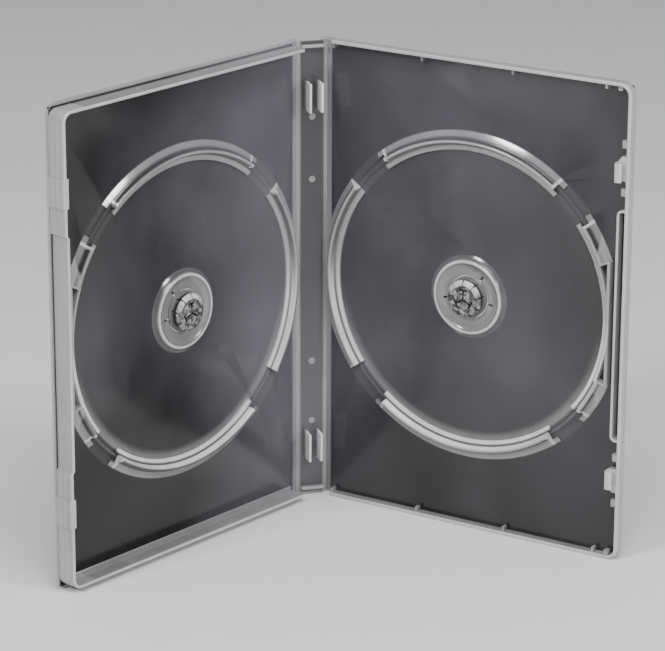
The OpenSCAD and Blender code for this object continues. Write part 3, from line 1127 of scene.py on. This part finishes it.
    def openings(self) -> list[Mesh]:
        """Builds the cutters of the button's hole and of the dish's three slits, which keep a floor."""
        h, deep = self.hub, 6.0
        circle = arc(self.middle, h.hole_r, 0, 357, 120)
        slit = rectangle(h.hole_r - 1.0, -h.jaw_w / 2, h.hole_r + 2.6, h.jaw_w / 2)
        slits = [turned(slit, angle, self.middle) for angle in (55, 190, 350)]
        hole = rounded_prism(circle, -1.0, deep, 0.0, 0.0)
        return [hole] + [rounded_prism(outline, 0.4, deep, 0.0, 0.0) for outline in slits]

    def rim(
        self, end_inset: float, edge_inset: float, wall_t: float, depth: float,
        step: float = 0.0, reach: float = 0.0,
    ) -> Mesh:
        """Builds the wall along the bottom, the free edge and the top.

        Args:
            end_inset: Distance of the end walls from the plate's edge.
            edge_inset: Distance of the free wall from the plate's edge.
            wall_t: Thickness of the wall.
            depth: Depth of its lip.
            step: How far the free wall steps back in its thumb section.
            reach: Half of the length of that section.

        Returns:
            The wall as a closed mesh.
        """
        s = self.sizes
        r = s.corner_r - edge_inset
        outer = cover_outline(s, s.wall_start, end_inset, edge_inset, r)
        inner = cover_outline(s, s.wall_start, end_inset + wall_t, edge_inset + wall_t, r - wall_t)
        if step:
            outer, inner = (self.stepped(path, step, reach) for path in (outer, inner))
        return rounded_prism(outer + inner[::-1], 0.25, depth, 0.0, wall_t * 0.32)

    def stepped(self, path: Outline, step: float, reach: float) -> Outline:
        """Adds the thumb section's step to the free side of a rim's path."""
        half = len(path) // 2
        u, v0 = path[half][0], self.sizes.mid_v
        bend = [(u, v0 - reach), (u - step, v0 - reach + step),
                (u - step, v0 + reach - step), (u, v0 + reach)]
        return path[:half] + bend + path[half:]

    def details(self) -> list[Mesh]:
        """Returns the rim and what only one of the covers has."""
        raise NotImplementedError

    def build(self) -> Thing:
        """Joins the cover's features into one moulding and sets it in the frame."""
        features = [self.web(), *self.ring(), *self.straight_wall(), self.seat(), *self.details()]
        whole = combined(self.plate(), features, Fill.JOIN)
        whole = combined(whole, self.openings(), Fill.CUT)
        return settled(whole, self.place, f"{self.word}_cover_moulding", self.finish)


@dataclass
class FrontCover(Cover):
    """Deep cover with walls set in from its edge, catch blocks and a stepped thumb section."""

    catch_h: float = 11.4
    thumb_step: float = 0.9
    foot_w: float = 1.5
    foot_h: float = 0.6

    @property
    def lip_depth(self) -> float:
        """Depth of the rim's lip."""
        return self.sizes.front_depth

    def details(self) -> list[Mesh]:
        """Returns the rim, the foot steps and the catch blocks."""
        s = self.sizes
        parts = [self.rim(s.front_end_inset, s.front_edge_inset, s.front_wall_t, s.front_depth,
                          self.thumb_step, s.thumb_v)]
        inner_v = s.front_end_inset + s.front_wall_t
        for v in (inner_v - 0.2, s.height - inner_v - self.foot_w):
            foot = rectangle(s.wall_start, v, s.cover_w - s.corner_r - 1, v + self.foot_w + 0.2)
            parts.append(rounded_prism(foot, s.plate_t - SUNK, s.plate_t + self.foot_h, 0.0, 0.3))
        top = s.front_depth - 0.01
        for sign in (-1, 1):
            v = s.mid_v + sign * s.latch_v
            low, high = v - self.catch_h / 2, v + self.catch_h / 2
            ledge = rectangle(s.front_inner_u - s.catch_reach, low, s.front_inner_u + 0.3, high)
            parts.append(rounded_prism(ledge, s.front_depth - s.catch_t, top, 0.2, 0.3))
            catch = rectangle(s.cover_w - s.front_edge_inset - 0.3, low, s.cover_w - 0.2, high)
            parts.append(rounded_prism(catch, 0.3, top, 0.0, 0.3))
        return parts


@dataclass
class BackCover(Cover):
    """Shallow cover with a rim at its edge, gussets, hooks, nubs and a double thumb wall."""

    haze_end: float = 150.0
    haze_low: float = 0.1
    haze_high: float = 0.34
    hook_h: float = 9.5
    hook_t: float = 1.8
    barb_reach: float = 0.9
    latch_clear: float = 0.4
    nub_h: float = 3.0
    nub_v: float = 9.3
    thumb_w: float = 4.6
    thumb_t: float = 1.0
    gussets_in_row: int = 4
    gusset_clear: float = 11.4
    gusset_t: float = 1.1
    gusset_reach: float = 1.8

    @property
    def lip_depth(self) -> float:
        """Depth of the rim's lip."""
        return self.sizes.back_depth

    def gussets(self) -> list[Mesh]:
        """Repeats the gussets along both end walls, with one more at each free corner."""
        s, count = self.sizes, self.gussets_in_row
        low, high = s.plate_t - SUNK, s.back_depth - 0.8
        reach = s.back_wall_t + self.gusset_reach
        pitch = (s.cover_w - s.wall_start - self.gusset_clear) / (count - 1)
        corner = s.cover_w - s.corner_r - 1.2
        rows = []
        for v0, v1 in ((0.4, reach), (s.height - reach, s.height - 0.4)):
            first = rounded_prism(rectangle(s.wall_start, v0, s.wall_start + self.gusset_t, v1), low, high)
            made = self.trees.row.run(first, Count=count, Step=(pitch, 0.0, 0.0), Material=self.finish)
            last = rectangle(corner, v0, corner + 1.7 * self.gusset_t, v1)
            rows += [closed_copy(made), rounded_prism(last, low, high)]
        return rows

    def hook(self, v: float, up: int) -> list[Mesh]:
        """Builds one hook: a base with a sloped shoulder, a stem and a barb.

        Args:
            v: Height of the hook's middle.
            up: 1 where the sloped shoulder is above, -1 where it is below.

        Returns:
            The base and the stem.
        """
        s = self.sizes
        sunk, slope = s.plate_t - SUNK, 2.0
        u0 = s.front_inner_u - s.catch_reach - self.latch_clear - self.hook_t
        u1, half = s.cover_w - s.back_wall_t + 0.3, self.hook_h / 2
        base = [(u0, v - up * half), (u1, v - up * half), (u1, v + up * half),
                (u0 + 1.6, v + up * half), (u0, v + up * (half - slope))]
        tip = s.closed_t - s.front_depth + s.catch_t + self.latch_clear / 2 + 1.2
        u2, u3 = u0 + self.hook_t, u0 + self.hook_t + self.barb_reach
        stem = [(u0 + 0.02, sunk), (u2, sunk), (u2, tip - 1.2), (u3, tip - 1.2),
                (u3, tip - 0.9), (u2, tip), (u0 + 0.35, tip), (u0 + 0.02, tip - 0.35)]
        low, high = sorted((v - up * half + up * 0.02, v + up * (half - slope)))
        return [rounded_prism(base, sunk, s.back_depth - 0.3), along_height(stem, low, high)]

    def thumb_wall(self) -> Mesh:
        """Builds the inner wall of the double thumb section, with its round closed ends."""
        s = self.sizes
        r, t = self.thumb_w / 2, self.thumb_t
        u, edge = s.cover_w - r, s.cover_w - s.back_wall_t / 2
        low, high = s.mid_v - s.thumb_v, s.mid_v + s.thumb_v
        outer = ([(edge, low)] + arc((u, low + r), r, 270, 180, 8)
                 + arc((u, high - r), r, 180, 90, 8) + [(edge, high)])
        inner = ([(edge, high - t)] + arc((u, high - r), r - t, 90, 180, 8)
                 + arc((u, low + r), r - t, 180, 270, 8) + [(edge, low + t)])
        return rounded_prism(outer + inner, s.plate_t - SUNK, s.back_depth - 0.02)

    def details(self) -> list[Mesh]:
        """Returns the rim, gussets, hooks, nubs and the thumb wall."""
        s = self.sizes
        parts = [self.rim(0.0, 0.0, s.back_wall_t, s.back_depth), *self.gussets(), self.thumb_wall()]
        wall_u = s.cover_w - s.back_wall_t
        for sign in (-1, 1):
            middle = s.mid_v + sign * s.latch_v
            parts += self.hook(middle, sign)
            for step in (-1, 1):
                v = middle + step * self.nub_v
                nub = rectangle(
                    wall_u - self.nub_h * 0.7, v - self.nub_h / 2, wall_u + 0.3, v + self.nub_h / 2)
                parts.append(rounded_prism(nub, s.plate_t - SUNK, s.back_depth - 0.5, 0.0, 0.4))
        return parts


@dataclass
class HubButton:
    """Fingered press button in the middle of a cover's hub."""

    cover: Cover
    finish: Material = field(init=False)

    def __post_init__(self) -> None:
        """Makes the button's finish."""
        self.finish = FrostedPolypropylene(f"frosted_{self.cover.word}").make(
            self.cover.place, self.cover.middle, self.cover.hub)

    def build(self) -> Thing:
        """Joins skirt, fingers and the dome with its grooves and sets them in the frame."""
        h, middle, trees = self.cover.hub, self.cover.middle, self.cover.trees
        top, neck = h.button_h, h.neck_r
        seat = h.base + h.skirt_t
        skirt = lathed([(neck - 2.2, h.base), (h.skirt_r - 0.1, h.base), (h.skirt_r, h.base + 0.1),
                        (h.skirt_r, seat - 0.15), (h.skirt_r - 0.15, seat), (neck - 2.2, seat)], middle)
        lip_r = neck + h.lip_reach
        finger = [(neck - 1.7, seat - 0.3), (neck, seat - 0.3), (neck, top - 1.9), (lip_r, top - 1.5),
                  (lip_r, top - 1.2), (neck - 0.35, top - 0.5), (neck - 1.1, top - 0.15),
                  (neck - 1.9, top - 0.1), (neck - 2.3, top - 0.5), (neck - 2.2, top - 1.2),
                  (neck - 1.7, top - 1.6)]
        half = 180.0 / h.fingers - math.degrees(h.slit_w / 2 / neck)
        one = trees.swept(finger[::-1], (0.0, 0.0), 33 - half, 33 + half, self.finish)
        made = trees.ring.run(one, Count=h.fingers, Centre=(middle[0], middle[1], 0.0), Material=self.finish)
        dome_r, under = neck - 1.8, top - 1.3
        cap = spline([(dome_r - 0.25, top - 0.45), (dome_r * 0.6, top - 0.1), (0.3, top)], 4)
        dome = domed([(0.0, under), (dome_r, under), (dome_r, top - 0.6), *cap, (0.0, top)], middle)
        whole = combined(skirt, [closed_copy(made), dome], Fill.JOIN)
        jaw_slit = rectangle(-0.1, -h.jaw_w / 2, 3.9, h.jaw_w / 2)
        cross_slit = rectangle(3.3, -1.7, 3.3 + h.jaw_w, 1.7)
        cutters = [rounded_prism(turned(cut, a, middle), top - 1.1, top + 1, 0.0, 0.0)
                   for a in (90, 210, 330) for cut in (jaw_slit, cross_slit)]
        whole = combined(whole, cutters, Fill.CUT)
        return settled(whole, self.cover.place, f"{self.cover.word}_hub_fingers", self.finish)


@dataclass
class Spine:
    """Narrow back strip with half of each web, end walls, leaflet fins and moulding marks."""

    sizes: CaseSizes
    trees: Trees
    wall_inset: float = 2.2
    fin_d: float = 9.4
    fin_h: float = 11.5
    fin_t: float = 1.0
    fin_end: float = 16.5
    fin_pitch: float = 4.8
    fin_shift: float = 0.4
    pip_r: float = 1.4
    pip_h: float = 0.3
    pip_gap: float = 3.5
    place: PanelFrame = field(init=False)
    finish: Material = field(init=False)

    def __post_init__(self) -> None:
        """Finds the spine's place and makes its finish."""
        self.place = spine_frame(self.sizes)
        # The spine's painted light is whiter, for its near white fins
        plastic = ClearPolypropylene("clear_spine", lip=(0.97, 0.96, 0.96, 1.0))
        self.finish = plastic.make(self.painted_light, self.hazed)

    @property
    def plate_half(self) -> float:
        """Half of the width of the full plate."""
        return self.sizes.closed_t / 2 - self.sizes.axis_d - self.sizes.web_w

    def painted_light(self, wires: Wiring) -> Socket:
        """Returns the share of light painted on the spine: its webs, ends, walls, marks and fins."""
        s = self.sizes
        away = wires.maths("ABSOLUTE", wires.reach(self.place.origin, self.place.along))
        up = wires.maths("ABSOLUTE", wires.maths("SUBTRACT", wires.height(), s.mid_v))
        depth = wires.reach(self.place.outer, self.place.inward)
        webs = wires.between(away, self.plate_half - 0.5, self.plate_half + 0.3, 0.0, 0.32)
        ends = wires.between(up, s.mid_v - 1.3, s.mid_v - 0.4, 0.0, 0.5)
        # Painted light grows with depth from the plate: marks, walls and, brightest, the fins
        stops = [(0.0, 0.0), (s.plate_t, 0.0), (s.plate_t + 0.2, 0.3), (s.spine_wall_d, 0.42),
                 (s.spine_wall_d + 0.6, 0.95), (9.0, 1.0)]
        return wires.most(webs, ends, wires.curve(depth, 10.0, stops))

    def hazed(self, wires: Wiring) -> Socket:
        """Returns how hazy the plate is: most towards its foot."""
        return wires.between(wires.height(), self.sizes.height, 0.0, 0.3, 0.55)

    def plate(self) -> Mesh:
        """Builds the plate with its webs as one section along the height."""
        s, half = self.sizes, self.plate_half
        web = s.closed_t / 2 - 2 * s.axis_d - s.web_gap
        right = [(web - 0.05, 0.0), (web, 0.05), (web, s.web_t - 0.05), (web - 0.05, s.web_t),
                 (half + 0.5, s.web_t), (half + 0.2, s.web_t + 0.1), (half - 0.1, s.plate_t - 0.05),
                 (half - 0.4, s.plate_t)]
        return along_height(right + [(-u, w) for u, w in right[::-1]], 0.0, s.height)

    def build(self) -> Thing:
        """Joins plate, walls, fins and marks and sets them in the frame."""
        s, half = self.sizes, self.plate_half
        sunk = s.plate_t - SUNK
        parts = []
        for v in (self.wall_inset, s.height - self.wall_inset - s.front_wall_t):
            wall = rectangle(-half, v, half, v + s.front_wall_t)
            parts.append(rounded_prism(wall, sunk, s.spine_wall_d, 0.0, 0.35))
        left = -self.fin_pitch / 2 - self.fin_shift - self.fin_t / 2
        for v in (self.fin_end, s.height - self.fin_end - self.fin_h):
            side = rectangle(left, v, left + self.fin_t, v + self.fin_h)
            fin = rounded_prism(side, sunk, self.fin_d, 0.0, 0.3)
            made = self.trees.row.run(fin, Count=2, Step=(self.fin_pitch, 0.0, 0.0), Material=self.finish)
            parts.append(closed_copy(made))
        outer_v = self.fin_end + self.fin_h + self.pip_gap
        for v in (outer_v, s.height * 0.3, s.height * 0.7, s.height - outer_v):
            mark = arc((0.0, v), self.pip_r, 0, 345, 23)
            parts.append(rounded_prism(mark, sunk, s.plate_t + self.pip_h, 0.0, 0.15))
        whole = combined(self.plate(), parts, Fill.JOIN)
        return settled(whole, self.place, "spine_moulding", self.finish)


# Studio

@dataclass(frozen=True)
class PhotoCamera:
    """Camera at the photo's viewing angle, for a frame of 665 by 651 pixels."""

    frame_w: int = 665
    focal_px: float = 3242.0
    sensor_mm: float = 36.0
    place_mm: tuple[float, float, float] = (-320.7, -1136.2, 487.7)
    turn_deg: float = -16.02
    pitch_deg: float = 18.65
    roll_deg: float = 0.22

    def build(self) -> Thing:
        """Makes the camera and sets it as the scene's own."""
        data = bpy.data.cameras.new("photo_camera")
        data.sensor_width = self.sensor_mm
        data.lens = self.focal_px / self.frame_w * self.sensor_mm
        data.clip_start, data.clip_end = 0.05, 50.0
        camera = bpy.data.objects.new("photo_camera", data)
        bpy.context.scene.collection.objects.link(camera)
        turn = Matrix.Rotation(math.radians(self.turn_deg), 4, "Z")
        tilt = Matrix.Rotation(math.radians(90 - self.pitch_deg), 4, "X")
        roll = Matrix.Rotation(math.radians(self.roll_deg), 4, "Z")
        camera.matrix_world = Matrix.Translation(Vector(self.place_mm) * MM) @ turn @ tilt @ roll
        bpy.context.scene.camera = camera
        return camera


@dataclass(frozen=True)
class SoftLight:
    """One large soft lamp."""

    name: str
    place: tuple[float, float, float]
    size: float
    power: float
    aim: tuple[float, float, float] = (0.0, 0.0, 0.1)

    def build(self) -> Thing:
        """Makes the lamp."""
        data = bpy.data.lights.new(self.name, "AREA")
        data.shape, data.size, data.energy = "DISK", self.size, self.power
        lamp = bpy.data.objects.new(self.name, data)
        bpy.context.scene.collection.objects.link(lamp)
        place = Vector(self.place)
        turn = (Vector(self.aim) - place).to_track_quat("-Z", "Y").to_matrix().to_4x4()
        lamp.matrix_world = Matrix.Translation(place) @ turn
        return lamp


@dataclass
class Studio:
    """Pale floor, soft lamps and an even pale surround."""

    floor_half: float = 6.0
    surround: Colour = (0.8, 0.82, 0.85, 1.0)
    surround_strength: float = 0.4
    lights: tuple[SoftLight, ...] = (
        SoftLight("key", (0.87, -0.92, 0.76), size=0.3, power=11.0),
        SoftLight("left", (-1.02, -0.53, 0.965), size=0.3, power=12.5),
        SoftLight("top", (-0.1, -0.75, 1.35), size=0.9, power=18.0),
    )

    def build(self) -> None:
        """Makes the floor, the lamps and the surround."""
        h = self.floor_half
        mesh = bpy.data.meshes.new("floor")
        mesh.from_pydata([(-h, -h, 0), (h, -h, 0), (h, h, 0), (-h, h, 0)], [], [(0, 1, 2, 3)])
        mesh.materials.append(PaleFloor().make())
        floor = bpy.data.objects.new("floor", mesh)
        bpy.context.scene.collection.objects.link(floor)
        for lamp in self.lights:
            lamp.build()
        world = bpy.data.worlds.new("surround")
        world.use_nodes = True
        background = world.node_tree.nodes["Background"]
        background.inputs["Color"].default_value = self.surround
        background.inputs["Strength"].default_value = self.surround_strength
        bpy.context.scene.world = world


def dress(piece: Thing, node: str, body: str) -> None:
    """Hides the node a piece stands for, ties the piece to its body and reports it."""
    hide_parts(node)
    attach(piece, body)
    faces = sum(len(p.vertices) - 2 for p in piece.data.polygons)
    LOG.info("%s stands for %s, rides on %s, %d triangles", piece.name, node, body, faces)


def main() -> None:
    """Builds the camera, the studio and the five mouldings."""
    logging.basicConfig(level=logging.INFO, format="%(message)s")
    PhotoCamera().build()
    Studio().build()
    sizes, tray, hub, trees = CaseSizes(), TraySizes(), HubSizes(), Trees()
    dress(Spine(sizes, trees).build(), "spine", "spine")
    covers = (FrontCover(Side.FRONT, sizes, tray, hub, trees), BackCover(Side.BACK, sizes, tray, hub, trees))
    for cover in covers:
        node = f"{cover.word}_cover"
        dress(cover.build(), node, node)
        button = f"{cover.word}_hub_button"
        dress(HubButton(cover).build(), button, button)


if __name__ == "__main__":
    main()
